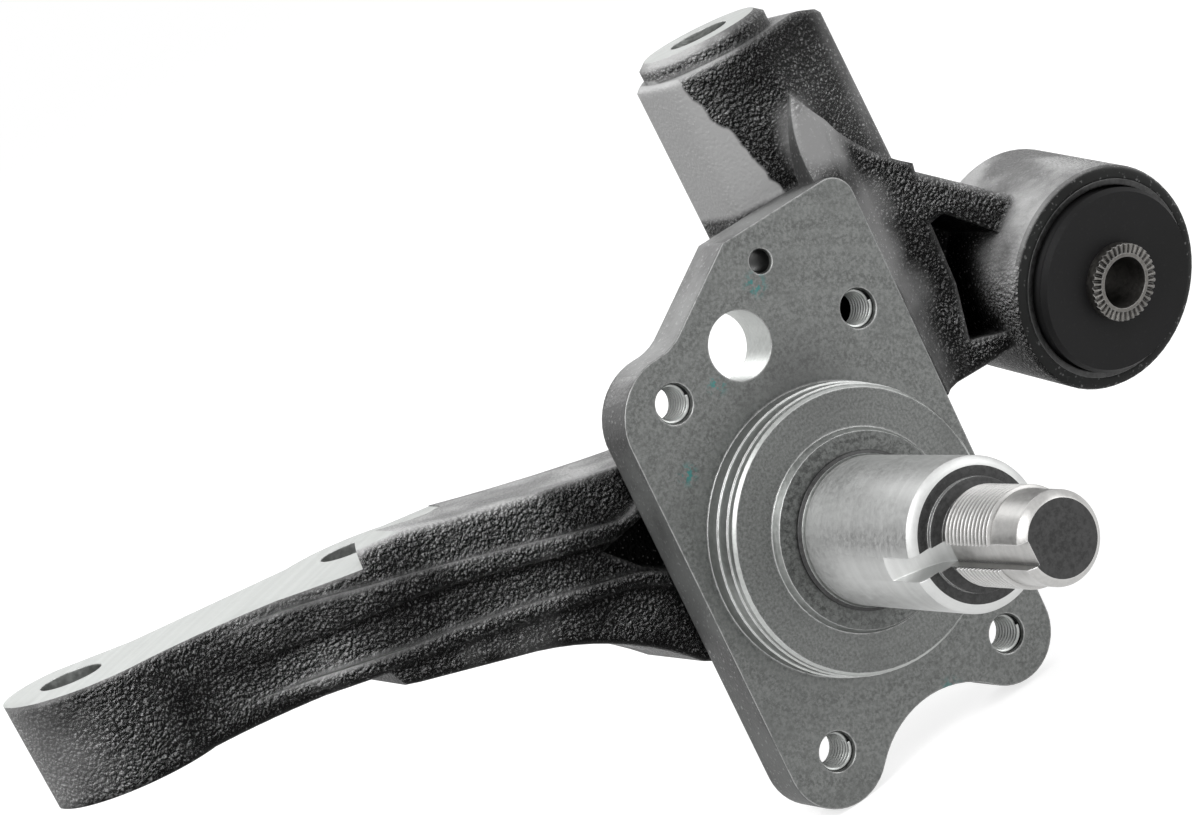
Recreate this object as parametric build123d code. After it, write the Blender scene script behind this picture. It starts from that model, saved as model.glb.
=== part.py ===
# Steering knuckle: cast body with a pressed-in wheel spindle and a rubber bush.
# Drawn with the machined flange face at y = 0 and the spindle along -Y, +Z up along
# the upper boss and +X towards the bush eye. The finished parts are moved so that the
# frame's origin is on the spindle axis where the bearing journal starts. Millimetres.
import math
import os

from build123d import *

os.makedirs("parts", exist_ok=True)

# Flange and the turned shoulder on it
FLANGE_THICK = 12.0
BOLT_CIRCLE_R = 50.8
BOLT_ANGLES = (54.95, 116.45, -120.35, -58.85)
TAP_R = 4.4
TAP_MOUTH_R = 5.2
SENSOR_X, SENSOR_Z, SENSOR_R = -1.75, 48.9, 8.0
SMALL_X, SMALL_Z, SMALL_TAP_R = 12.3, 62.9, 2.6
SHOULDER_R = 33.0
SHOULDER_H = 11.0
SEAT_R = 22.5
SEAT_FACE = 13.0

# Spindle
SOCKET_R = 16.0
HUB_BACK = 44.0
JOURNAL_R = 17.0
JOURNAL_ROOT = 15.0
JOURNAL_END = 61.0
THREAD_R = 11.0
THREAD_START = 65.0
THREAD_END = 84.0
TAIL_R = 10.1
TIP = 94.6
SLOT_W = 5.6
SLOT_Z = 0.8
SLOT_FLOOR = 7.5

BLIND_TAP_DEPTH = 26.0

# Upper boss
BOSS_X, BOSS_Y, BOSS_TOP = 37.5, 28.0, 110.7
BOSS_R = 19.0
BOSS_BOLT_DEPTH = 52.0
BOLT_R = 7.25

# Long arm: reach and height of its two bolt holes, seen from the spindle axis
ARM_REACH = 161.1
ARM_RISE = 54.6
ARM_END_Y = 48.2
ARM_MID_REACH = 91.0
ARM_MID_Y = 45.5
ARM_SLOPE = 0.116
ARM_RIM_R = 2.2
RIB_PROUD = 2.6
CORNER_DEPTH = 5.0

# Side arm and bush eye
SIDE_FRONT = 8.5
SIDE_BACK = 34.0
WEB_BACK = 16.0
POCKET_DEPTH = 18.5
EYE_REACH = 93.6
EYE_RISE = 13.6
EYE_FRONT_Y = -1.0
EYE_AXIS = (0.018, -0.976, -0.218)
EYE_R = 27.1
EYE_BORE_R = 24.0
EYE_LENGTH = 36.0
RUBBER_PROUD = 4.0
SLEEVE_PROUD = 2.5
SLEEVE_R = 9.3
SLEEVE_BORE_R = 6.2
TEETH = 36


def turned(points, plane=Plane.XY, axis=Axis.Y):
    """Solid of revolution about the spindle axis from (radius, y) points."""
    return revolve(plane * make_face(Polyline(*points, close=True)), axis)


def bar(radius, start, end, x=0.0, z=0.0):
    """Round bar parallel to the spindle axis between two y positions."""
    return Pos(x, (start + end) / 2, z) * Rot(90, 0, 0) * Cylinder(radius, abs(end - start))


def front_prism(outline, y0, y1):
    """Outline drawn in x and z, seen from the front, made solid from y0 to y1."""
    return extrude(Plane.XZ.offset(-y0) * outline, -(y1 - y0))


# Flange outline, seen from the wheel side
LOBE_R_X, LOBE_R_Z, LOBE_R_R = 26.2, -43.3, 12.3
LOBE_L_X, LOBE_L_Z, LOBE_L_R = -25.9, -44.0, 12.9
flange_edge = (
    Line((38.5, -43.3), (41.2, 66.0))
    + ThreePointArc((41.2, 66.0), (39.5, 69.7), (35.6, 71.4))
    + Line((35.6, 71.4), (5.8, 71.0))
    + Line((5.8, 71.0), (-13.5, 58.6))
    + ThreePointArc((-13.5, 58.6), (-17.2, 56.8), (-21.5, 56.3))
    + ThreePointArc((-21.5, 56.3), (-32.4, 52.0), (-36.9, 43.0))
    + Line((-36.9, 43.0), (-38.8, -44.0))
    + ThreePointArc((-38.8, -44.0), (-26.5, -56.9), (-16.4, -52.7))
    + ThreePointArc((-16.4, -52.7), (1.0, -45.3), (17.4, -52.0))
    + ThreePointArc((17.4, -52.0), (30.5, -54.8), (38.5, -43.3))
)
flange = front_prism(make_face(flange_edge), 0, FLANGE_THICK)

# Shoulder with its turned steps and the raised bearing seat
shoulder = turned([
    (0, 1), (0, -SEAT_FACE), (SEAT_R, -SEAT_FACE), (SEAT_R + 0.9, -SHOULDER_H),
    (SHOULDER_R - 0.7, -SHOULDER_H), (SHOULDER_R, -SHOULDER_H + 0.7), (SHOULDER_R, -8.4),
    (SHOULDER_R + 0.4, -8.4), (SHOULDER_R + 0.4, -4.4), (SHOULDER_R + 0.8, -4.4), (SHOULDER_R + 0.8, 1),
])

# Socket hub behind the flange, which holds the spindle
hub = turned([
    (0, 4), (36, 4), (36, FLANGE_THICK), (33, 15), (30, 22),
    (27, HUB_BACK - 3), (25, HUB_BACK), (0, HUB_BACK),
])

# Upper boss: column with a flat side towards the long arm and a broad shoulder on the bush side
FLAT_X = BOSS_X - BOSS_R + 0.7
boss_plan = make_hull([
    *(Pos(BOSS_X, BOSS_Y) * Circle(BOSS_R - 0.8)).edges(),
    *(Pos(FLAT_X + 4.0, BOSS_Y - 10.0) * Circle(4.0)).edges(),
    *(Pos(FLAT_X + 4.0, BOSS_Y + 4.7) * Circle(4.0)).edges(),
    *(Pos(55.0, 25.0) * Circle(11.0)).edges(),
])
boss = extrude(Plane.XY.offset(44) * boss_plan, 62)
boss_slope = Plane(origin=(56.0, 25.0, 106.0), x_dir=(1, 0, -0.35), z_dir=(0.35, 0, 1))
boss = boss - extrude(boss_slope * (Pos(20, 0) * Rectangle(60, 90)), 20)
boss = chamfer(boss.edges().filter_by(lambda e: e.center().Z > 95), 0.9)
spot = Pos(BOSS_X, BOSS_Y, 0) * revolve(Plane.XZ * make_face(Polyline(
    (0, 100), (16.2, 100), (16.2, BOSS_TOP - 1.6), (14.2, BOSS_TOP), (0, BOSS_TOP), close=True,
)), Axis.Z)

# Side arm to the bush eye, with its pocket between the ribs
side_edge = Polyline(
    (18.0, 30.0), (20.0, 69.5), (52.0, 69.5), (EYE_REACH - 17.6, EYE_RISE + 35.9),
    (EYE_REACH - 1.6, EYE_RISE + 22.4), (EYE_REACH - 1.6, EYE_RISE - 1.6), (62.0, 10.5), (46.0, 11.0),
    (22.0, 11.0), close=True,
)
side_arm = front_prism(make_face(side_edge), SIDE_FRONT, SIDE_BACK)
side_arm = fillet(side_arm.edges().filter_by(lambda e: e.center().X > 50 and e.length > 15), 3.0)
pocket_edge = Polyline(
    (60.3, 47.6), (64.6, 48.0), (EYE_REACH - 9.6, EYE_RISE + 15.0), (EYE_REACH - 9.6, EYE_RISE + 0.4),
    (65.3, 15.6), (56.0, 18.5), (59.4, 32.0), close=True,
)
pocket = front_prism(make_face(pocket_edge), 0, SIDE_FRONT + POCKET_DEPTH)

# Web that sweeps from the flange's corner up the boss and along the side arm
web_edge = (
    Line((33.0, 12.0), (34.5, 70.0))
    + Spline((34.5, 70.0), (36.2, 79.0), (BOSS_X + 5.5, BOSS_TOP - 20.2))
    + Spline((BOSS_X + 5.5, BOSS_TOP - 20.2), (48.6, 77.6), (63.0, 62.0))
    + Line((63.0, 62.0), (52.0, 12.0))
    + Line((52.0, 12.0), (33.0, 12.0))
)
web_side = Plane.YZ * make_face(Polyline(
    (2.5, 10.0), (2.5, 72.0), (BOSS_Y - BOSS_R + 1.2, BOSS_TOP - 19.5), (WEB_BACK, BOSS_TOP - 19.5),
    (WEB_BACK, 10.0), close=True,
))
web_plan = Polyline(
    (30.0, 2.5), (41.6, 2.5), (44.2, 5.4), (48.5, 7.7), (54.5, SIDE_FRONT), (70.0, SIDE_FRONT),
    (70.0, WEB_BACK), (30.0, WEB_BACK), close=True,
)
web = front_prism(make_face(web_edge), 0, WEB_BACK) & extrude(web_side, 90)
web = web & extrude(make_face(web_plan), 100)

# Bush eye
eye_plane = Plane(origin=(EYE_REACH, EYE_FRONT_Y, EYE_RISE), x_dir=(1, 0, 0), z_dir=EYE_AXIS)
EYE_BACK = RUBBER_PROUD + EYE_LENGTH


def along_eye(radius, near, far):
    """Round bar on the eye axis; distances grow inwards from the rubber's front."""
    return extrude(eye_plane.offset(-far) * Circle(radius), far - near)


def on_eye(points):
    """Solid of revolution about the eye axis from (radius, distance inwards) points."""
    section = Plane(origin=eye_plane.origin, x_dir=eye_plane.x_dir, z_dir=eye_plane.y_dir)
    return revolve(section * make_face(Polyline(*points, close=True)), Axis(eye_plane.origin, EYE_AXIS))


eye = on_eye([
    (0, RUBBER_PROUD), (EYE_R - 1.7, RUBBER_PROUD), (EYE_R - 0.5, RUBBER_PROUD + 0.5),
    (EYE_R, RUBBER_PROUD + 1.7), (EYE_R, EYE_BACK - 1.2), (EYE_R - 1.2, EYE_BACK), (0, EYE_BACK),
])

# Long arm: plan and side views crossed
end_x = -ARM_REACH
mid_x = -ARM_MID_REACH
neck_x = mid_x - 9.0
heel_x = end_x + 11.1
bend_x = neck_x + 0.36 * (heel_x - neck_x)
ARM_FRONT = 13.4


def arm_front(setback):
    """Front line of the arm in plan, from the flange to the round end, set back from the ribs."""
    bend_y = ARM_END_Y - 24.4 + setback * 0.8
    return (
        Line((-20.0, ARM_FRONT + setback), (neck_x, ARM_FRONT + setback))
        + ThreePointArc((neck_x, ARM_FRONT + setback), (neck_x - 11.0, bend_y - 4.5), (bend_x, bend_y))
        + ThreePointArc((bend_x, bend_y), (bend_x - 12.0, ARM_END_Y - 20.3 + setback * 0.2), (heel_x, ARM_END_Y - 19.8))
    )


arm_plan_edge = (
    arm_front(RIB_PROUD)
    + ThreePointArc((heel_x, ARM_END_Y - 19.8), (end_x - 10.6, ARM_END_Y - 13.6), (end_x - 16.1, ARM_END_Y + 0.3))
    + ThreePointArc((end_x - 16.1, ARM_END_Y + 0.3), (end_x - 10.4, ARM_END_Y + 11.6), (end_x + 1.1, ARM_END_Y + 15.8))
    + Line((end_x + 1.1, ARM_END_Y + 15.8), (end_x + 18.1, ARM_END_Y + 9.0))
    + Line((end_x + 18.1, ARM_END_Y + 9.0), (mid_x - 12.0, ARM_MID_Y + 11.9))
    + ThreePointArc((mid_x - 12.0, ARM_MID_Y + 11.9), (mid_x + 0.5, ARM_MID_Y + 15.1), (mid_x + 13.0, ARM_MID_Y + 10.0))
    + Line((mid_x + 13.0, ARM_MID_Y + 10.0), (-20.0, 44.0))
    + Line((-20.0, 44.0), (-20.0, ARM_FRONT + RIB_PROUD))
)
arm_side_edge = (
    Line((end_x - 24.0, ARM_RISE + 7.9), (mid_x + 3.0, 50.0))
    + ThreePointArc((mid_x + 3.0, 50.0), (-54.0, 40.6), (-20.0, 33.5))
    + Line((-20.0, 33.5), (-20.0, -24.0))
    + Line((-20.0, -24.0), (-37.5, -13.8))
    + ThreePointArc((-37.5, -13.8), (-54.5, 1.0), (-77.0, 11.2))
    + Line((-77.0, 11.2), (mid_x - 12.0, 19.4))
    + Line((mid_x - 12.0, 19.4), (mid_x - 13.6, 23.4))
    + ThreePointArc((mid_x - 13.6, 23.4), (end_x + 25.0, 27.0), (end_x - 23.9, 31.0))
    + Line((end_x - 23.9, 31.0), (end_x - 24.0, ARM_RISE + 7.9))
)
arm = extrude(Plane.XY.offset(-40) * make_face(arm_plan_edge), 120) & front_prism(
    make_face(arm_side_edge), 0, 90
)
arm_rims = arm.edges().filter_by(Axis.Z, reverse=True).filter_by(Axis.Y, reverse=True)
arm_rims = arm_rims.filter_by(lambda e: e.center().X < -24 and e.center().Y < 40)
arm = fillet(arm_rims.filter_by(lambda e: e.center().X > end_x), ARM_RIM_R)

arm_face = Plane(origin=(end_x, ARM_END_Y, ARM_RISE), x_dir=(1, 0, -ARM_SLOPE), z_dir=(ARM_SLOPE, 0, 1))
milled_edge = Polyline(
    (-40.0, -60.0), (61.0, -60.0), (61.0, -33.4), (67.5, -16.2), (71.5, -16.8), (82.0, -13.2),
    (89.0, -9.0), (95.0, -2.0), (95.0, 40.0), (-40.0, 40.0), close=True,
)
milled = extrude(arm_face * make_face(milled_edge), 30)

# Two ribs along the front of the long arm, and the deep corner between them at the flange
rib_band = extrude(Plane.XY.offset(-40) * make_face(
    arm_front(0)
    + Line((heel_x, ARM_END_Y - 19.8), (heel_x, ARM_END_Y))
    + Line((heel_x, ARM_END_Y), (-20.0, ARM_END_Y))
    + Line((-20.0, ARM_END_Y), (-20.0, ARM_FRONT))
), 120)
upper_rib_edge = (
    Spline((heel_x, 47.0), (-120.0, 47.5), (-94.4, 42.1), (-60.7, 31.8), (-44.0, 26.8))
    + Spline((-44.0, 26.8), (-38.0, 26.4), (-31.0, 32.0))
    + Line((-31.0, 32.0), (-29.0, 27.0))
    + Spline((-29.0, 27.0), (-35.5, 24.6), (-45.8, 23.2))
    + Spline((-45.8, 23.2), (-60.6, 27.2), (-98.2, 37.2), (-121.8, 39.3), (heel_x, 47.0))
)
lower_rib_edge = (
    Spline((heel_x, 35.5), (-120.2, 30.5), (-87.6, 25.2), (-65.1, 19.6), (-44.6, 14.0))
    + Spline((-44.6, 14.0), (-38.5, 11.0), (-30.0, 4.0))
    + Line((-30.0, 4.0), (-32.0, 1.0))
    + Spline((-32.0, 1.0), (-39.9, 8.2), (-45.9, 11.2))
    + Spline((-45.9, 11.2), (-66.9, 16.5), (-89.2, 22.0), (-120.2, 27.6), (heel_x, 35.5))
)
ribs = [front_prism(make_face(edge), 0, 32) & rib_band for edge in (upper_rib_edge, lower_rib_edge)]
corner_edge = Polyline((-48.0, 21.5), (-35.0, 23.5), (-31.0, 25.0), (-31.0, 6.5), (-41.0, 13.5), close=True)
corner = front_prism(make_face(corner_edge), FLANGE_THICK, ARM_FRONT + RIB_PROUD + CORNER_DEPTH)

# Body put together, then its machined holes
body = flange + shoulder + hub + boss + spot + web + side_arm - pocket
body = body + eye + arm + ribs[0] + ribs[1] - corner
body = body - milled
for angle in BOLT_ANGLES:
    hole_x = BOLT_CIRCLE_R * math.cos(math.radians(angle))
    hole_z = BOLT_CIRCLE_R * math.sin(math.radians(angle))
    depth = BLIND_TAP_DEPTH if angle == BOLT_ANGLES[0] else FLANGE_THICK + 1
    body -= bar(TAP_R, -1, depth, hole_x, hole_z)
    body -= Pos(hole_x, 0, hole_z) * Rot(-90, 0, 0) * Cone(TAP_MOUTH_R, TAP_R, 1.6)
body -= bar(SENSOR_R, -1, FLANGE_THICK + 8, SENSOR_X, SENSOR_Z)
body -= bar(SMALL_TAP_R, -1, FLANGE_THICK + 10, SMALL_X, SMALL_Z)
body -= Pos(SMALL_X, 0, SMALL_Z) * Rot(-90, 0, 0) * Cone(SMALL_TAP_R + 0.8, SMALL_TAP_R, 1.6)
body -= bar(SOCKET_R, -SEAT_FACE - 1, HUB_BACK + 1)
body -= extrude(
    Plane.XY.offset(BOSS_TOP - BOSS_BOLT_DEPTH) * (Pos(BOSS_X, BOSS_Y) * Circle(BOLT_R)), BOSS_BOLT_DEPTH + 8
)
body -= along_eye(EYE_BORE_R, 0, EYE_BACK + 20)
mid_hole = ((mid_x - end_x) * math.hypot(1, ARM_SLOPE), ARM_MID_Y - ARM_END_Y)
for hole in ((0.0, 0.0), mid_hole):
    body -= extrude(arm_face.offset(-60) * (Pos(*hole) * Circle(BOLT_R)), 80)
knuckle = body.solids().sort_by(SortBy.VOLUME)[-1]

# Spindle
spindle = turned([
    (0, HUB_BACK), (SOCKET_R - 1, HUB_BACK), (SOCKET_R, HUB_BACK - 1), (SOCKET_R, -SEAT_FACE),
    (JOURNAL_R + 1.2, -SEAT_FACE), (JOURNAL_R + 1.2, -SEAT_FACE - 0.6), (JOURNAL_R, -JOURNAL_ROOT),
    (JOURNAL_R, -JOURNAL_END + 1.3), (14.7, -JOURNAL_END),
    (12.5, -JOURNAL_END), (12.5, -JOURNAL_END - 1.2), (9.9, -JOURNAL_END - 1.8),
    (9.9, -THREAD_START + 1.0), (THREAD_R, -THREAD_START), (THREAD_R, -THREAD_END),
    (TAIL_R, -THREAD_END - 1.2), (TAIL_R, -TIP + 1.7), (8.15, -TIP), (0, -TIP),
])
slot_cut = extrude(
    Plane.XY.offset(SLOT_Z - SLOT_W / 2) * make_face(
        Line((-SLOT_FLOOR, -TIP - 1), (-SLOT_FLOOR, -62.0))
        + ThreePointArc((-SLOT_FLOOR, -62.0), (-11.0, -53.4), (-18.0, -47.5))
        + Line((-18.0, -47.5), (-24.0, -47.5))
        + Line((-24.0, -47.5), (-24.0, -TIP - 1))
        + Line((-24.0, -TIP - 1), (-SLOT_FLOOR, -TIP - 1))
    ), SLOT_W,
)
spindle = spindle - slot_cut

# Bush in the eye: outer sleeve, rubber, serrated inner sleeve
LINER_R = EYE_BORE_R - 1.5
LIP_R = EYE_BORE_R - 1.7
outer_sleeve = along_eye(EYE_BORE_R, RUBBER_PROUD, EYE_BACK) - along_eye(LINER_R, 0, EYE_BACK + 20)
rubber = on_eye([
    (SLEEVE_R, 0.4), (LIP_R - 0.9, 0.0), (LIP_R, 1.4), (LIP_R - 1.5, 3.4), (LINER_R, 6.5),
    (LINER_R, EYE_BACK - 2.5), (LIP_R - 1.5, EYE_BACK + 0.6), (LIP_R, EYE_BACK + 2.6),
    (LIP_R - 0.9, EYE_BACK + 4.0), (SLEEVE_R, EYE_BACK + 3.6),
])
SLEEVE_BACK = EYE_BACK + 4.0 + SLEEVE_PROUD
inner_sleeve = along_eye(SLEEVE_R, -SLEEVE_PROUD, SLEEVE_BACK) - along_eye(SLEEVE_BORE_R, -10, SLEEVE_BACK + 10)
tooth_gap = make_face(Polyline((-0.55, 0), (0.55, 0), (0, -0.8), close=True))
for end_plane in (eye_plane.offset(SLEEVE_PROUD), Plane(
    origin=eye_plane.offset(-SLEEVE_BACK).origin, x_dir=eye_plane.x_dir, z_dir=-eye_plane.z_dir,
)):
    gap = extrude(Plane.YZ.offset(SLEEVE_BORE_R + 0.9) * tooth_gap, 4)
    cuts = [end_plane.location * Rot(0, 0, i * 360 / TEETH) * gap for i in range(TEETH)]
    inner_sleeve = inner_sleeve - cuts

pieces = {
    "knuckle": knuckle,
    "spindle": spindle,
    "bush_outer_sleeve": outer_sleeve,
    "bush_rubber": rubber,
    "bush_inner_sleeve": inner_sleeve,
}
for name, solid in pieces.items():
    export_step(Pos(0, JOURNAL_ROOT, 0) * solid, "parts/" + name + ".step")
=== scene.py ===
import math

import bpy
from mathutils import Matrix, Vector


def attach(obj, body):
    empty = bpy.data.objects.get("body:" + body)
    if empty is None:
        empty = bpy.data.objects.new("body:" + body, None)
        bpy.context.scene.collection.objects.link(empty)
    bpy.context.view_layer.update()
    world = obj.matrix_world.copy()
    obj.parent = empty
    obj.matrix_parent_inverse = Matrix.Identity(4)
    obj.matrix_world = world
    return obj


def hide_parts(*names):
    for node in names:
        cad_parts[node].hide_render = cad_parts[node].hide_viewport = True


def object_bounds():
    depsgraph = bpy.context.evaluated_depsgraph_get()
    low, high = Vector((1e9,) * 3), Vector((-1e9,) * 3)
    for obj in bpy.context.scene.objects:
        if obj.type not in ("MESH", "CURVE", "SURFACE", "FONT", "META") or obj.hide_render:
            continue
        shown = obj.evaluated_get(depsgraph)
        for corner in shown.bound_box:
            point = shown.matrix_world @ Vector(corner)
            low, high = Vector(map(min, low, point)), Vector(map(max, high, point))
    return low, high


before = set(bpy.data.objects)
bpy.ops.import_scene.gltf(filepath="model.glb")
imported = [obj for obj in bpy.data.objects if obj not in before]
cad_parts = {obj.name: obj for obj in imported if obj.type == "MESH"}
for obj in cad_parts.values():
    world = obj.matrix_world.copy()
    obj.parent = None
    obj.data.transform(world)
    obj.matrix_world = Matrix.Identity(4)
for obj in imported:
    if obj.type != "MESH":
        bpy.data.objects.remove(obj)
cad_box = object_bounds()
scene = bpy.context.scene
scene.view_settings.view_transform = "Standard"
MM = 0.001

# Camera at the photograph's angle
cam_data = bpy.data.cameras.new("camera")
cam_data.lens = 109.15
cam_data.sensor_width = 36.0
cam_data.shift_x = 0.0018
cam_data.shift_y = -0.0030
camera = bpy.data.objects.new("camera", cam_data)
scene.collection.objects.link(camera)
cam_place = (-0.3400, -0.7152, 0.2145)
cam_right = (0.78786, -0.42268, -0.44786)
cam_up = (0.48968, -0.01102, 0.87181)
cam_back = (-0.3734, -0.9062, 0.1983)
cam_turn = Matrix((cam_right, cam_up, cam_back)).transposed().to_4x4()
camera.matrix_world = Matrix.Translation(cam_place) @ cam_turn
scene.camera = camera


# Small helpers for node trees
def add_node(tree, kind, values=None, **settings):
    """New node with its settings, and with values or links for its inputs."""
    made = tree.nodes.new(kind)
    for name, value in settings.items():
        setattr(made, name, value)
    for socket, value in (values or {}).items():
        if isinstance(value, bpy.types.NodeSocket):
            tree.links.new(value, made.inputs[socket])
        else:
            made.inputs[socket].default_value = value
    return made


def calc(tree, operation, first, second=0.0, third=0.0):
    """Output of a Math node."""
    made = add_node(tree, "ShaderNodeMath", {0: first, 1: second, 2: third}, operation=operation)
    return made.outputs[0]


def calc_vector(tree, operation, first, second):
    """Output of a Vector Math node: a number for a distance or a dot product, or else a vector."""
    made = add_node(tree, "ShaderNodeVectorMath", {0: first, 1: second}, operation=operation)
    return made.outputs["Value" if operation in ("DISTANCE", "DOT_PRODUCT") else "Vector"]


def fade(tree, value, low, high, to_low=0.0, to_high=1.0):
    """Value mapped smoothly from low..high to another range and held there."""
    made = add_node(tree, "ShaderNodeMapRange", {
        "Value": value, "From Min": low, "From Max": high, "To Min": to_low, "To Max": to_high,
    }, interpolation_type="SMOOTHSTEP")
    return made.outputs[0]


def mixed(tree, factor, first, second):
    """Two colours mixed by a factor."""
    made = add_node(tree, "ShaderNodeMix", {0: factor, 6: first, 7: second}, data_type="RGBA")
    return made.outputs[2]


def gray(level, tint=(1.0, 1.0, 1.0)):
    return (level * tint[0], level * tint[1], level * tint[2], 1.0)


def noise(tree, vector, scale, detail, roughness=0.5):
    made = add_node(tree, "ShaderNodeTexNoise", {
        "Vector": vector, "Scale": scale, "Detail": detail, "Roughness": roughness,
    })
    return made.outputs["Fac"]


def open_air(tree, distance):
    """How open a place is, from 0 deep in a hollow to 1."""
    return add_node(tree, "ShaderNodeAmbientOcclusion", {"Distance": distance}, samples=6).outputs["AO"]


def near(tree, coords, place, reach):
    """Mask round a place on the object, from 1 at the place to 0 at its reach."""
    return fade(tree, calc_vector(tree, "DISTANCE", coords, place), 0.0, reach, 1.0, 0.0)


FLOAT = "NodeSocketFloat"
VECTOR = "NodeSocketVector"


def new_group(name, inputs, outputs):
    """Empty shader group with named float or vector sockets."""
    tree = bpy.data.node_groups.new(name, "ShaderNodeTree")
    for socket, kind, value in inputs:
        made = tree.interface.new_socket(socket, in_out="INPUT", socket_type=kind)
        if value is not None:
            made.default_value = value
    for socket, kind in outputs:
        tree.interface.new_socket(socket, in_out="OUTPUT", socket_type=kind)
    return tree, tree.nodes.new("NodeGroupInput").outputs, tree.nodes.new("NodeGroupOutput").inputs


def place_group(tree, group, values):
    return add_node(tree, "ShaderNodeGroup", values, node_tree=group).outputs


# Skin that a sand mould leaves on the casting: rounded grains with pits between them, lumps and grit
cast_skin, given, result = new_group("sand cast skin", [
    ("Vector", VECTOR, None), ("Cells per metre", FLOAT, 340.0), ("Lumps", FLOAT, 1.0), ("Grit", FLOAT, 0.25),
], [("Height", FLOAT), ("Peaks", FLOAT), ("Tone", FLOAT)])
BEND = 0.0012
GRAIN_DEPTH = -0.9
warp = add_node(cast_skin, "ShaderNodeTexNoise", {"Vector": given["Vector"], "Scale": 260.0, "Detail": 2.0})
bent = calc_vector(cast_skin, "MULTIPLY", warp.outputs["Color"], (BEND, BEND, BEND))
cells = add_node(cast_skin, "ShaderNodeTexVoronoi", {
    "Vector": calc_vector(cast_skin, "ADD", given["Vector"], bent), "Scale": given["Cells per metre"],
    "Smoothness": 0.7,
}, feature="SMOOTH_F1")
lump_scale = calc(cast_skin, "MULTIPLY", given["Cells per metre"], 0.9)
lumps = noise(cast_skin, given["Vector"], lump_scale, 3.0, 0.6)
grit_scale = calc(cast_skin, "MULTIPLY", given["Cells per metre"], 4.0)
grit = noise(cast_skin, given["Vector"], grit_scale, 3.0)
patches = noise(cast_skin, given["Vector"], 42.0, 4.0)
cell_height = calc(cast_skin, "MULTIPLY", cells.outputs["Distance"], GRAIN_DEPTH)
body_height = calc(cast_skin, "MULTIPLY_ADD", lumps, 0.9, cell_height)
body_height = calc(cast_skin, "MULTIPLY", body_height, given["Lumps"])
height = calc(cast_skin, "ADD", body_height, calc(cast_skin, "MULTIPLY", grit, given["Grit"]))
peak_sum = calc(cast_skin, "ADD", cell_height, lumps)
peak_sum = calc(cast_skin, "ADD", peak_sum, calc(cast_skin, "MULTIPLY", grit, 0.55))
cast_skin.links.new(height, result["Height"])
cast_skin.links.new(fade(cast_skin, peak_sum, 0.56, 0.74), result["Peaks"])
cast_skin.links.new(patches, result["Tone"])

# Rounded edges, made lighter partly by abrasion and partly as a painted edge highlight
edge_wear_and_light, given, result = new_group("edge wear", [
    ("Vector", VECTOR, None), ("Radius", FLOAT, 0.0008), ("Gain", FLOAT, 6.0),
], [("Wear and light", FLOAT), ("Normal", VECTOR)])
rounded = add_node(edge_wear_and_light, "ShaderNodeBevel", {"Radius": given["Radius"]}, samples=6).outputs[0]
shape = add_node(edge_wear_and_light, "ShaderNodeNewGeometry")
turned_by = calc_vector(edge_wear_and_light, "DOT_PRODUCT", rounded, shape.outputs["Normal"])
bare = calc(edge_wear_and_light, "MULTIPLY", calc(edge_wear_and_light, "SUBTRACT", 1.0, turned_by), given["Gain"])
chips = noise(edge_wear_and_light, given["Vector"], 480.0, 4.0)
edge_lightening = calc(edge_wear_and_light, "MULTIPLY", bare, fade(edge_wear_and_light, chips, 0.3, 0.62, 0.25, 1.0))
edge_wear_and_light.links.new(fade(edge_wear_and_light, edge_lightening, 0.05, 1.0), result["Wear and light"])
edge_wear_and_light.links.new(rounded, result["Normal"])

# Fine rings left by the lathe round the spindle axis, with wider bands of tone
lathe_marks, given, result = new_group("lathe marks", [
    ("Vector", VECTOR, None), ("Rings per metre", FLOAT, 3000.0),
], [("Height", FLOAT), ("Tone", FLOAT)])
BANDS_PER_METRE = 320.0
FEED = 0.83
split = add_node(lathe_marks, "ShaderNodeSeparateXYZ", {0: given["Vector"]}).outputs
square_x = calc(lathe_marks, "POWER", split[0], 2.0)
square_z = calc(lathe_marks, "POWER", split[2], 2.0)
across = calc(lathe_marks, "SQRT", calc(lathe_marks, "ADD", square_x, square_z))
track = calc(lathe_marks, "ADD", across, calc(lathe_marks, "MULTIPLY", split[1], FEED))
for output, scale, detail in (("Height", given["Rings per metre"], 2.0), ("Tone", BANDS_PER_METRE, 3.0)):
    rings = add_node(lathe_marks, "ShaderNodeTexNoise", {
        "W": track, "Scale": scale, "Detail": detail,
    }, noise_dimensions="1D")
    lathe_marks.links.new(rings.outputs["Fac"], result[output])

# Mottled grain of bare machined iron
iron_grain, given, result = new_group("iron grain", [
    ("Vector", VECTOR, None), ("Scale", FLOAT, 900.0),
], [("Grain", FLOAT), ("Stain", FLOAT)])
iron_grain.links.new(noise(iron_grain, given["Vector"], given["Scale"], 6.0, 0.7), result["Grain"])
iron_grain.links.new(noise(iron_grain, given["Vector"], 55.0, 5.0, 0.6), result["Stain"])


def new_material(name):
    """Material with one Principled shader, and its Object coordinates."""
    material = bpy.data.materials.new(name)
    material.use_nodes = True
    tree = material.node_tree
    coords = tree.nodes.new("ShaderNodeTexCoord").outputs["Object"]
    return material, tree, tree.nodes["Principled BSDF"], coords


# Places where the casting is painted paler, as painted highlight and reflection on its smoother skin: middle,
# reach, strength, shade and how even the skin is there
PALE_LIGHT_PLACES = (
    ((0.0405, 0.0190, 0.0790), 0.017, 0.85, 0.25, 0.80),
    ((0.0445, 0.0220, 0.0590), 0.014, 0.66, 0.15, 0.30),
    ((0.0462, 0.0220, 0.0480), 0.013, 0.60, 0.14, 0.25),
    ((0.0480, 0.0220, 0.0370), 0.014, 0.66, 0.13, 0.20),
    ((-0.1800, 0.0600, 0.0480), 0.034, 0.75, 0.11, 0.35),
)
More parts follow.
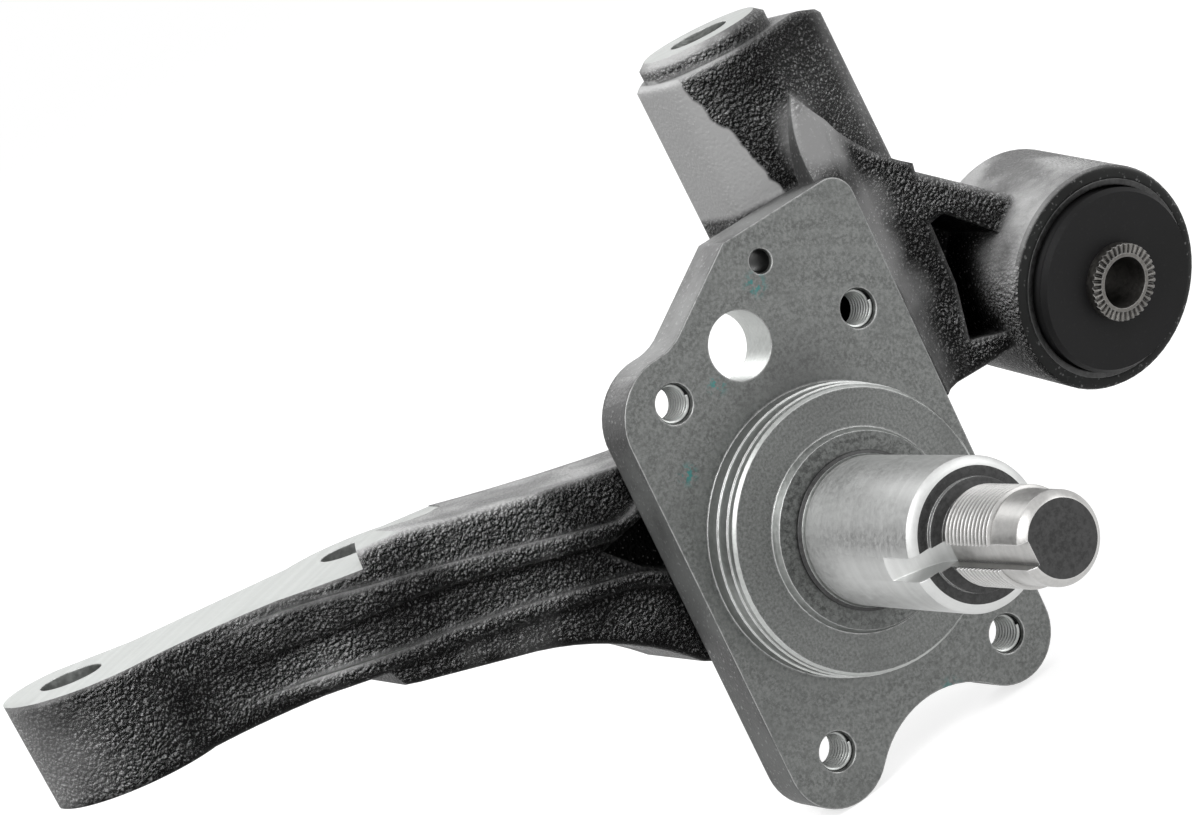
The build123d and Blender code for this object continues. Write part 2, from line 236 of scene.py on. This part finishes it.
# Painted light: the direction of the lamp whose painted highlight falls on up-facing facets, the direction of
# the painted reflection on right-facing faces, the gray of that painted light, and the reach of the painted
# shade that keeps it out of hollows
UP_LEFT = (-0.35, -0.15, 0.92)
RIGHT = (0.92, -0.33, 0.21)
HIGHLIGHT_GRAY = gray(0.66)
HOLLOW_REACH = 0.022
GREENISH = (0.97, 1.0, 0.98)

# Left side of the boss, painted paler as a painted highlight from the lamp at the left, on smoother skin: its
# shade, its lean along the boss, its ragged edge, and the level where it begins
LIT_SIDE_GRAY = gray(0.37)
LIT_SIDE_LEAN = 0.23
LIT_SIDE_EDGE = (0.0466, 0.0459)
LIT_SIDE_RAGGED = 0.009
LIT_SIDE_FROM = (0.0703, 0.0725)
LIT_SIDE_EVEN = 0.62


def painted_pale_light(tree, coords, tone, colour, places):
    """Colour with the painted highlights of the pale places and of the boss's left side, and a mask of how
    even the skin is.
    """
    ragged = fade(tree, tone, 0.3, 0.7, -0.2, 0.2)
    even = 0.0
    # Painted highlight and reflection: each pale place is painted towards its gray
    for place, reach, strength, shade, evenness in places:
        patch = calc(tree, "MULTIPLY", near(tree, coords, place, reach), strength)
        patch = fade(tree, calc(tree, "ADD", patch, ragged), 0.12, 0.62)
        colour = mixed(tree, patch, colour, gray(shade))
        even = calc(tree, "MAXIMUM", even, calc(tree, "MULTIPLY", patch, evenness))
    split = add_node(tree, "ShaderNodeSeparateXYZ", {0: coords}).outputs
    # The boss's left side, painted paler as a painted highlight, with smoother skin
    across = calc(tree, "MULTIPLY_ADD", split[2], LIT_SIDE_LEAN, split[0])
    across = calc(tree, "MULTIPLY_ADD", ragged, LIT_SIDE_RAGGED, across)
    ground = calc(tree, "MULTIPLY", fade(tree, across, *LIT_SIDE_EDGE), fade(tree, split[2], *LIT_SIDE_FROM))
    colour = mixed(tree, ground, colour, LIT_SIDE_GRAY)
    return colour, calc(tree, "MAXIMUM", even, calc(tree, "MULTIPLY", ground, LIT_SIDE_EVEN))


def cast_paint(name, base, peak, peak_share, cells, lumps, grit, bump, roughness, wear_and_light, highlight, gloss, soft,
               places=()):
    """Paint on a sand-cast skin, with painted glints on its peaks, edges made lighter partly by abrasion and
    partly as a painted edge highlight, a painted highlight on open facets that face up towards the upper
    left, and a painted reflection on faces that face to the right."""
    material, tree, principled, coords = new_material(name)
    skin = place_group(tree, cast_skin, {
        "Vector": coords, "Cells per metre": cells, "Lumps": lumps, "Grit": grit,
    })
    edges = place_group(tree, edge_wear_and_light, {"Vector": coords, "Radius": soft, "Gain": 1.6})
    paint = mixed(tree, fade(tree, skin["Tone"], 0.35, 0.65), gray(base * 0.6), gray(base * 1.4, GREENISH))
    height = skin["Height"]
    if places:
        paint, even = painted_pale_light(tree, coords, skin["Tone"], paint, places)
        height = calc(tree, "MULTIPLY", height, calc(tree, "SUBTRACT", 1.0, even))

    # The deep relief only finds the facets that get the painted highlight, and the shallow one goes to the
    # shader
    deep, shallow = [
        add_node(tree, "ShaderNodeBump", {
            "Strength": strength, "Distance": bump, "Height": height, "Normal": edges["Normal"],
        }).outputs[0] for strength in (1.0, 0.4)]
    # Painted highlight on facets and faces turned up towards the lamp at the upper left, and painted
    # reflection on faces turned to the right
    facets_up = fade(tree, calc_vector(tree, "DOT_PRODUCT", deep, UP_LEFT), 0.70, 0.86)
    faces_up = fade(tree, calc_vector(tree, "DOT_PRODUCT", edges["Normal"], UP_LEFT), 0.55, 0.95, 0.0, 0.8)
    right_reflection = fade(tree, calc_vector(tree, "DOT_PRODUCT", edges["Normal"], RIGHT), 0.45, 0.92, 0.0, 0.7)
    right_reflection = calc(tree, "MULTIPLY", right_reflection, fade(tree, skin["Peaks"], 0.0, 0.8, 0.42, 1.0))
    highlight_mask = calc(tree, "MAXIMUM", calc(tree, "MAXIMUM", facets_up, faces_up), right_reflection)
    highlight_mask = calc(tree, "MULTIPLY", highlight_mask, highlight)
    # Painted shade: the AO mask keeps the painted highlight out of hollows
    highlight_mask = calc(tree, "MULTIPLY", highlight_mask, fade(tree, open_air(tree, HOLLOW_REACH), 0.25, 0.8))
    highlight_mask = calc(tree, "MULTIPLY", highlight_mask, fade(tree, skin["Tone"], 0.38, 0.60, 0.35, 1.0))

    # Painted glints: the peaks of the skin painted pale
    peak_glints = mixed(tree, calc(tree, "MULTIPLY", skin["Peaks"], peak_share), paint, gray(peak))
    lightened = mixed(tree, highlight_mask, peak_glints, HIGHLIGHT_GRAY)
    # Edges lighter: partly abrasion, partly a painted edge highlight
    final = mixed(tree, calc(tree, "MULTIPLY", edges["Wear and light"], wear_and_light), lightened, gray(peak * 1.3))
    sheen = fade(tree, skin["Tone"], 0.3, 0.7, roughness - 0.06, roughness + 0.08)
    shine = fade(tree, skin["Peaks"], 0.0, 1.0, gloss * 0.25, gloss * 2.0)
    tree.links.new(final, principled.inputs["Base Color"])
    tree.links.new(sheen, principled.inputs["Roughness"])
    tree.links.new(shine, principled.inputs["Specular IOR Level"])
    tree.links.new(shallow, principled.inputs["Normal"])
    return material


def machined_metal(name, base, spread, roughness, rings, bump, tint=(0.97, 1.0, 0.975), wear_and_light=0.6,
                   grain=900.0, hollow=0.0, reach=0.001, edge=0.0004):
    """Bare machined iron or steel with tool rings, grain, edges made bright as a painted edge highlight, and
    painted shade darkening its hollows.
    """
    material, tree, principled, coords = new_material(name)
    lathe = place_group(tree, lathe_marks, {"Vector": coords, "Rings per metre": rings})
    iron = place_group(tree, iron_grain, {"Vector": coords, "Scale": grain})
    edges = place_group(tree, edge_wear_and_light, {"Vector": coords, "Radius": edge, "Gain": 7.0})
    mottle = fade(tree, iron["Grain"], 0.36, 0.66)
    mottled = mixed(tree, mottle, gray(base * (1 - spread), tint), gray(base * (1 + spread), tint))
    banded = mixed(tree, fade(tree, lathe["Tone"], 0.35, 0.7, 0.0, 0.35), mottled, gray(base * 1.25, tint))
    stained = mixed(tree, fade(tree, iron["Stain"], 0.52, 0.75, 0.0, 0.45), banded, gray(base * 0.72, tint))
    # Painted edge highlight: edges made lighter where the bevel mask finds them
    final = mixed(tree, calc(tree, "MULTIPLY", edges["Wear and light"], wear_and_light), stained, gray(min(0.9, base * 3.2)))
    # Painted shade: darker towards black where the AO mask finds a hollow
    if hollow:
        final = mixed(tree, fade(tree, open_air(tree, reach), 0.35, 0.95, hollow, 0.0), final, gray(0.01))
    relief = add_node(tree, "ShaderNodeBump", {
        "Strength": 0.6, "Distance": bump, "Height": lathe["Height"], "Normal": edges["Normal"],
    })
    sheen = fade(tree, iron["Grain"], 0.3, 0.7, roughness - 0.05, roughness + 0.08)
    tree.links.new(final, principled.inputs["Base Color"])
    tree.links.new(sheen, principled.inputs["Roughness"])
    principled.inputs["Metallic"].default_value = 1.0
    tree.links.new(relief.outputs[0], principled.inputs["Normal"])
    return material


def rubber_material():
    """Matt black rubber with a fine moulded skin, a little lighter on its peaks."""
    material, tree, principled, coords = new_material("bush rubber")
    skin = place_group(tree, cast_skin, {
        "Vector": coords, "Cells per metre": 900.0, "Lumps": 0.3, "Grit": 0.3,
    })
    tone = fade(tree, skin["Tone"], 0.3, 0.7)
    colour = mixed(tree, tone, gray(0.004), gray(0.010, (1.0, 0.99, 1.03)))
    lightened = mixed(tree, calc(tree, "MULTIPLY", skin["Peaks"], 0.03), colour, gray(0.12))
    relief = add_node(tree, "ShaderNodeBump", {
        "Strength": 0.4, "Distance": 0.0001, "Height": skin["Height"],
    })
    tree.links.new(lightened, principled.inputs["Base Color"])
    tree.links.new(fade(tree, skin["Tone"], 0.3, 0.7, 0.42, 0.58), principled.inputs["Roughness"])
    principled.inputs["Specular IOR Level"].default_value = 0.15
    tree.links.new(relief.outputs[0], principled.inputs["Normal"])
    return material


rough_paint = cast_paint(
    "black casting", base=0.0025, peak=0.36, peak_share=0.24, cells=1200.0, lumps=1.0, grit=0.50,
    bump=0.00085, roughness=0.32, wear_and_light=0.15, highlight=0.95, gloss=0.14, soft=0.003, places=PALE_LIGHT_PLACES)
# Smoother casting for the flange rim's side faces, painted paler gray as a painted sheen of grazing faces
sheen_paint = cast_paint(
    "smooth casting, painted sheen", base=0.10, peak=0.30, peak_share=0.20, cells=900.0, lumps=0.45, grit=0.40,
    bump=0.0004, roughness=0.42, wear_and_light=0.3, highlight=0.28, gloss=0.5, soft=0.001)
eye_paint = cast_paint(
    "smooth dark casting", base=0.014, peak=0.12, peak_share=0.07, cells=800.0, lumps=0.30, grit=0.25,
    bump=0.0003, roughness=0.38, wear_and_light=0.12, highlight=0.42, gloss=0.4, soft=0.001)
flange_iron = machined_metal(
    "machined flange", base=0.155, spread=0.32, roughness=0.42, rings=2600.0, bump=0.00003,
    wear_and_light=0.9, grain=1500.0, edge=0.0007)
milled_iron = machined_metal(
    "milled top", base=0.34, spread=0.05, roughness=0.50, rings=2600.0, bump=0.00003, wear_and_light=0.2)
bore_iron = machined_metal(
    "drilled bore", base=0.34, spread=0.14, roughness=0.40, rings=2400.0, bump=0.00006,
    hollow=0.6, reach=0.005)
bright_bore = machined_metal(
    "bored sensor hole", base=0.50, spread=0.12, roughness=0.40, rings=2000.0, bump=0.00003,
    wear_and_light=0.0, hollow=0.35, reach=0.008)
journal_steel = machined_metal(
    "ground journal", base=0.57, spread=0.04, roughness=0.48, rings=5200.0, bump=0.000005,
    tint=(0.99, 1.0, 0.99), wear_and_light=0.4)
end_steel = machined_metal(
    "dark turned steel", base=0.055, spread=0.25, roughness=0.42, rings=3000.0, bump=0.00004,
    tint=(1.0, 1.0, 1.0))
dark_iron = machined_metal(
    "dark mottled iron", base=0.12, spread=0.50, roughness=0.42, rings=2600.0, bump=0.00003, grain=1200.0)
ring_steel = machined_metal(
    "bright turned ring", base=0.40, spread=0.12, roughness=0.38, rings=3000.0, bump=0.00003)
thread_steel = machined_metal(
    "cut thread", base=0.44, spread=0.08, roughness=0.36, rings=3000.0, bump=0.00001,
    tint=(1.0, 0.99, 0.97), hollow=0.9, reach=0.0011)
tap_steel = machined_metal(
    "tapped thread", base=0.46, spread=0.10, roughness=0.36, rings=3000.0, bump=0.00001,
    hollow=0.85, reach=0.0010)
# Painted shade: the wall of a tapped hole behind its thread ridges is painted dark
shaded_tap_root = machined_metal(
    "shaded thread root", base=0.05, spread=0.20, roughness=0.40, rings=3000.0, bump=0.00001, wear_and_light=0.0)
sleeve_steel = machined_metal(
    "sleeve steel", base=0.14, spread=0.25, roughness=0.44, rings=2600.0, bump=0.00003,
    tint=(1.0, 0.96, 0.9), wear_and_light=0.4, hollow=0.45, reach=0.002)
rubber = rubber_material()

# Flecks of marking paint, and painted shade darkening the flange above the spindle
SHADE_PLACE = (0.006, 0.0150, 0.0330)
SHADE_REACH = 0.022
FLECKS = (((0.0085, 0.015, 0.0590), 0.0040), ((-0.0112, 0.015, 0.0440), 0.0035),
          ((-0.0275, 0.015, 0.0300), 0.0035), ((0.0065, 0.015, -0.0480), 0.0050))
TEAL = (0.02, 0.20, 0.19, 1.0)
tree = flange_iron.node_tree
principled = tree.nodes["Principled BSDF"]
coords = next(node for node in tree.nodes if node.type == "TEX_COORD").outputs["Object"]
bare = principled.inputs["Base Color"].links[0].from_socket
# Painted shade: the flange darker round a place above the spindle
painted_shade = calc(tree, "MULTIPLY", near(tree, coords, SHADE_PLACE, SHADE_REACH), 0.55)
bare = mixed(tree, painted_shade, bare, gray(0.07))
spots = fade(tree, noise(tree, coords, 900.0, 3.0), 0.5, 0.56)
for place, reach in FLECKS:
    fleck = calc(tree, "MULTIPLY", near(tree, coords, place, reach), spots)
    bare = mixed(tree, calc(tree, "MULTIPLY", fleck, 0.75), bare, TEAL)
tree.links.new(bare, principled.inputs["Base Color"])


# Modelling helpers
def deselect():
    if bpy.context.mode != "OBJECT":
        bpy.ops.object.mode_set(mode="OBJECT")
    bpy.ops.object.select_all(action="DESELECT")


def make_active(piece):
    deselect()
    piece.select_set(True)
    bpy.context.view_layer.objects.active = piece


def started(name):
    """The primitive just added, named, with its place applied to its mesh."""
    piece = bpy.context.object
    piece.name = name
    piece.data.name = name
    bpy.ops.object.transform_apply(location=True, rotation=True, scale=True)
    return piece


def edit_all(kind="VERT"):
    """Goes to edit mode with all of the active piece selected."""
    bpy.ops.object.mode_set(mode="EDIT")
    bpy.ops.mesh.select_mode(type=kind)
    bpy.ops.mesh.select_all(action="SELECT")


def turn_outwards():
    """Recalculates the normals of the piece in edit mode and leaves that mode."""
    bpy.ops.mesh.select_all(action="SELECT")
    bpy.ops.mesh.normals_make_consistent(inside=False)
    bpy.ops.object.mode_set(mode="OBJECT")


def select_where(piece, test, kind="VERT"):
    """Goes to edit mode with only the vertices or faces selected that pass the test."""
    bpy.ops.object.mode_set(mode="EDIT")
    bpy.ops.mesh.select_mode(type=kind)
    bpy.ops.mesh.select_all(action="DESELECT")
    bpy.ops.object.mode_set(mode="OBJECT")
    items = piece.data.vertices if kind == "VERT" else piece.data.polygons
    for item in items:
        item.select = test(item)
    bpy.ops.object.mode_set(mode="EDIT")


def apply_modifier(piece, kind, **settings):
    make_active(piece)
    modifier = piece.modifiers.new(kind.lower(), kind)
    for name, value in settings.items():
        setattr(modifier, name, value)
    bpy.ops.object.modifier_apply(modifier=modifier.name)


def smooth(piece, degrees):
    make_active(piece)
    bpy.ops.object.shade_smooth_by_angle(angle=math.radians(degrees))


def turned_piece(name, rings, segments=128):
    """Solid turned about the spindle axis: a disc, extruded and resized ring by ring, each (radius, y)."""
    deselect()
    radius, y = rings[0]
    bpy.ops.mesh.primitive_circle_add(
        vertices=segments, radius=radius * MM, fill_type="NGON", location=(0, y * MM, 0),
        rotation=(math.pi / 2, 0, 0))
    piece = started(name)
    edit_all("FACE")
    for new_radius, new_y in rings[1:]:
        bpy.ops.mesh.extrude_region_move(TRANSFORM_OT_translate={"value": (0, (new_y - y) * MM, 0)})
        scale = new_radius / radius
        bpy.ops.transform.resize(value=(scale, 1, scale), center_override=(0, new_y * MM, 0))
        radius, y = new_radius, new_y
    turn_outwards()
    return piece


def thread_ridge(name, root, crest, start, pitch, turns, steps=48, foot=0.86):
    """Helical ridge about the spindle axis, from a small tapered square swept by a screw. The width of its
    foot is a share of the pitch, and that of its crest is a share of the foot."""
    crest_share = 0.16
    deselect()
    middle = (root + crest) / 2
    bpy.ops.mesh.primitive_plane_add(size=1.0, location=(middle * MM, start * MM, 0))
    bpy.context.object.scale = (abs(crest - root) * MM, pitch * foot * MM, 1)
    piece = started(name)
    outward = crest > root
    select_where(piece, lambda corner: (corner.co.x > middle * MM) == outward)
    bpy.ops.transform.resize(value=(1, crest_share, 1), center_override=(crest * MM, start * MM, 0))
    bpy.ops.mesh.select_all(action="SELECT")
    bpy.ops.mesh.delete(type="ONLY_FACE")
    apply_modifier(piece, "SCREW", axis="Y", angle=math.tau * turns, screw_offset=pitch * turns * MM,
                   steps=int(steps * turns), render_steps=int(steps * turns), use_smooth_shade=True)
    edit_all()
    bpy.ops.mesh.fill_holes(sides=4)
    turn_outwards()
    return piece


def finish_piece(piece, materials, node=None):
    """Gives a piece its materials and body, and hides the CAD node that it replaces, if any."""
    piece.data.materials.clear()
    for material in materials:
        piece.data.materials.append(material)
    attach(piece, "root")
    if node:
        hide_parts(node)


# Places on the casting in mm. Along the spindle axis, y grows from the flange towards the back
FLANGE_Y = 15.0
FLANGE_BACK = 27.2
SHOULDER_R = 34.5
OUTER_STEP_R = 32.2
SEAT_R = (22.4, 23.6)
SEAT_Y = 2.05
SOCKET_R = 16.2

# Taps as (x, z, deepest y), the sensor's hole and its screw's hole as (x, z)
TAPS = ((29.17, 41.59, 41.0), (-22.63, 45.48, 27.0), (-25.66, -43.84, 27.0), (26.27, -43.48, 27.0))
TAP_R = 5.4
THREAD_Y = FLANGE_Y + 1.6
SENSOR = (-1.75, 48.9)
SENSOR_R = 8.2
SENSOR_END = 36.0
SMALL = (12.3, 62.9)
SMALL_R = 3.6
SMALL_END = 38.0

# Upright bores in the boss and the long arm as (x, y, lowest z), and the milled tops above them
BORES = ((37.5, 43.0, 58.0), (-161.1, 63.2, 20.0), (-91.0, 60.5, 20.0))
BORE_R = 8.6
BOSS_TOP = 110.5
ARM_TOP = Vector((0.1152, 0.0, 0.9933))
ARM_X = -70.0

# Front face of the bush's eye
EYE_MIDDLE = (93.6, 13.6)
EYE_R = 28.0
EYE_Y = 27.0
ROUGH, SMOOTH, EYE, FLANGE, MILLED, BORE, SENSOR_BORE, RING, DARK, TAP_ROOT_SHADE = range(10)


def finish_of(place, normal):
    """Which finish a face of the casting has, from its place in mm and its normal."""
    x, y, z = place
    if abs(y - FLANGE_Y) < 0.05 and normal.y < -0.99:
        return FLANGE
    radius = math.hypot(x, z)
    side_face = abs(normal.y) < 0.3
    if y < FLANGE_Y - 0.01 and radius < SHOULDER_R:
        if y < SEAT_Y and radius < SEAT_R[0]:
            return DARK
        if SEAT_R[0] < radius < SEAT_R[1] or side_face or OUTER_STEP_R < radius:
            return RING
        return FLANGE
    if radius < SOCKET_R:
        return BORE
    if math.hypot(x - SENSOR[0], z - SENSOR[1]) < SENSOR_R and y < SENSOR_END:
        return SENSOR_BORE
    threaded = math.hypot(x - SMALL[0], z - SMALL[1]) < SMALL_R and y < SMALL_END
    for tap_x, tap_z, deepest in TAPS:
        threaded = threaded or (math.hypot(x - tap_x, z - tap_z) < TAP_R and y < deepest + 1)
    if threaded:
        # Painted shade: the wall of a tapped hole behind its thread is painted dark
        return TAP_ROOT_SHADE if y > THREAD_Y else BORE
    if z > BOSS_TOP or (normal.dot(ARM_TOP) > 0.999 and x < ARM_X):
        return MILLED
    if abs(normal.z) < 0.4:
        for bore_x, bore_y, lowest_z in BORES:
            if math.hypot(x - bore_x, y - bore_y) < BORE_R and z > lowest_z:
                return BORE
    # The flange rim's side faces take the smoother casting, painted paler as a painted sheen
    on_flange_rim = z > 55 or z < -30 or x < -33
    if FLANGE_Y < y < FLANGE_BACK and side_face and on_flange_rim:
        return SMOOTH
    if math.hypot(x - EYE_MIDDLE[0], z - EYE_MIDDLE[1]) < EYE_R and y < EYE_Y and abs(normal.y) > 0.5:
        return EYE
    return ROUGH


# Casting: the CAD body's own copy, merged, with each face given the finish it has
SAME_CORNER = 0.000002
casting = bpy.data.objects.new("casting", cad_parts["knuckle"].data.copy())
scene.collection.objects.link(casting)
make_active(casting)
bpy.ops.mesh.customdata_custom_splitnormals_clear()
edit_all()
bpy.ops.mesh.remove_doubles(threshold=SAME_CORNER)
bpy.ops.object.mode_set(mode="OBJECT")
finish_piece(casting, [
    rough_paint, sheen_paint, eye_paint, flange_iron, milled_iron, bore_iron, bright_bore, ring_steel,
    dark_iron, shaded_tap_root,
], "knuckle")
for face in casting.data.polygons:
    face.material_index = finish_of(face.center / MM, face.normal)
smooth(casting, 28.0)

# Spindle as (radius, y) in mm: fit in the hub, seat, bearing journal, end face with its groove, thread, tail
spindle = turned_piece("wheel_spindle", [
    (15.0, 59.0), (16.0, 58.0), (16.0, 2.0), (18.2, 2.0), (18.2, 1.4), (17.4, 0.9), (17.0, 0.0),
    (17.0, -44.7), (16.2, -45.5), (14.9, -46.0), (12.5, -46.0), (12.5, -47.2), (9.9, -47.8),
    (9.9, -49.0), (10.25, -50.0), (10.25, -69.0), (10.1, -70.2), (10.1, -77.9), (9.5, -78.8), (8.4, -79.6),
])
hub_thread = thread_ridge("hub_nut_thread", root=10.0, crest=11.0, start=-68.3, pitch=1.5, turns=12.0)

# Slot for the lock of the hub nut, through tail, thread and journal. Its floor rises by (y, x) steps in mm
SLOT_MIDDLE = (-15.75, -64.0, 0.8)
SLOT_SIZE = (16.5, 34.0, 5.6)
SLOT_STEPS = ((-42.0, -8.3), (-38.4, -11.0), (-35.2, -14.6), (-32.5, -18.4))
AT_STEP = 1e-6
deselect()
bpy.ops.mesh.primitive_cube_add(size=1.0, location=[length * MM for length in SLOT_MIDDLE])
bpy.context.object.scale = [length * MM for length in SLOT_SIZE]
cutter = started("slot_cutter")
for step_y, floor_x in SLOT_STEPS:
    far = max(corner.co.y for corner in cutter.data.vertices)
    select_where(cutter, lambda face: face.normal.y > 0.9, "FACE")
    bpy.ops.mesh.extrude_region_move(TRANSFORM_OT_translate={"value": (0, step_y * MM - far, 0)})
    bpy.ops.object.mode_set(mode="OBJECT")
    old_x = max(corner.co.x for corner in cutter.data.vertices if corner.select)
    select_where(cutter, lambda corner: abs(corner.co.y - step_y * MM) < AT_STEP
                 and abs(corner.co.x - old_x) < AT_STEP)
    bpy.ops.transform.translate(value=(floor_x * MM - old_x, 0, 0))
    bpy.ops.object.mode_set(mode="OBJECT")
for piece in (spindle, hub_thread):
    apply_modifier(piece, "BOOLEAN", operation="DIFFERENCE", solver="EXACT", object=cutter)
bpy.data.objects.remove(cutter)

# Finishes of the spindle's faces, by their place along its axis in mm
JOURNAL, END_FACE, THREAD, SEAT = range(4)
SEAT_TOP = 0.95
END_FACE_Y = -45.9
THREAD_FROM = -47.0
finish_piece(spindle, [journal_steel, end_steel, thread_steel, ring_steel], "spindle")
for face in spindle.data.polygons:
    along = face.center.y / MM
    if along > 0.0:
        face.material_index = END_FACE if along > SEAT_TOP else SEAT
    elif along < END_FACE_Y and face.normal.y < -0.9:
        face.material_index = END_FACE
    elif along < THREAD_FROM:
        face.material_index = THREAD
    else:
        face.material_index = JOURNAL
smooth(spindle, 30.0)
finish_piece(hub_thread, [thread_steel])
smooth(hub_thread, 40.0)

# Threads of the four tapped holes
for number, (tap_x, tap_z, _) in enumerate(TAPS, 1):
    tap = thread_ridge("plate_thread_%d" % number, root=4.45, crest=3.80, start=THREAD_Y, pitch=1.25,
                       turns=7.8, steps=32, foot=0.6)
    edit_all()
    bpy.ops.transform.translate(value=(tap_x * MM, 0, tap_z * MM))
    bpy.ops.object.mode_set(mode="OBJECT")
    finish_piece(tap, [tap_steel])
    smooth(tap, 40.0)

# Bush: the CAD sleeves and rubber with their own finishes
for node, material in (("bush_outer_sleeve", end_steel), ("bush_rubber", rubber),
                       ("bush_inner_sleeve", sleeve_steel)):
    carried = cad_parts[node]
    if not carried.material_slots:
        carried.data.materials.append(material)
    for slot in carried.material_slots:
        slot.material = material


def seen_rays(tree):
    """Mask of the rays that see a backdrop: camera, glossy and transmission rays."""
    path = add_node(tree, "ShaderNodeLightPath").outputs
    seen = calc(tree, "MAXIMUM", path["Is Camera Ray"], path["Is Glossy Ray"])
    return calc(tree, "MAXIMUM", seen, path["Is Transmission Ray"])


# Pale floor, a little below the object
FLOOR_SHADE = 0.46
FLOOR_GLOW = 0.74
FLOOR_GAP = 0.0002
lowest = cad_box[0][2]
deselect()
bpy.ops.mesh.primitive_plane_add(size=6.0, location=(0, 0.6, lowest - FLOOR_GAP))
floor = started("floor")
floor_material = bpy.data.materials.new("pale floor")
floor_material.use_nodes = True
tree = floor_material.node_tree
tree.nodes.remove(tree.nodes["Principled BSDF"])
matte = add_node(tree, "ShaderNodeBsdfDiffuse", {"Color": gray(FLOOR_SHADE)})
glow_strength = calc(tree, "MULTIPLY", seen_rays(tree), FLOOR_GLOW)
glow = add_node(tree, "ShaderNodeEmission", {"Strength": glow_strength})
both = add_node(tree, "ShaderNodeAddShader", {0: matte.outputs[0], 1: glow.outputs[0]})
tree.links.new(both.outputs[0], tree.nodes["Material Output"].inputs["Surface"])
floor.data.materials.append(floor_material)

# World, white where it is seen, and three soft lamps
WORLD_LIGHT = 0.55
world = bpy.data.worlds.new("studio")
scene.world = world
world.use_nodes = True
tree = world.node_tree
backdrop = tree.nodes["Background"].inputs
backdrop["Color"].default_value = (1, 1, 1, 1)
tree.links.new(fade(tree, seen_rays(tree), 0.0, 1.0, WORLD_LIGHT, 1.0), backdrop["Strength"])


def soft_lamp(name, place, size, power):
    """Square soft lamp that looks at the object's middle."""
    middle = Vector((-0.02, 0.03, 0.02))
    data = bpy.data.lights.new(name, "AREA")
    data.size = size
    data.energy = power
    lamp = bpy.data.objects.new(name, data)
    lamp.location = place
    lamp.rotation_euler = (middle - Vector(place)).to_track_quat("-Z", "Y").to_euler()
    scene.collection.objects.link(lamp)


soft_lamp("key_lamp", (-0.9, -0.7, 1.1), 0.8, 14.0)
soft_lamp("fill_lamp", (1.0, -0.9, 0.6), 0.9, 6.0)
soft_lamp("back_lamp", (0.2, 1.2, 0.9), 0.9, 6.0)
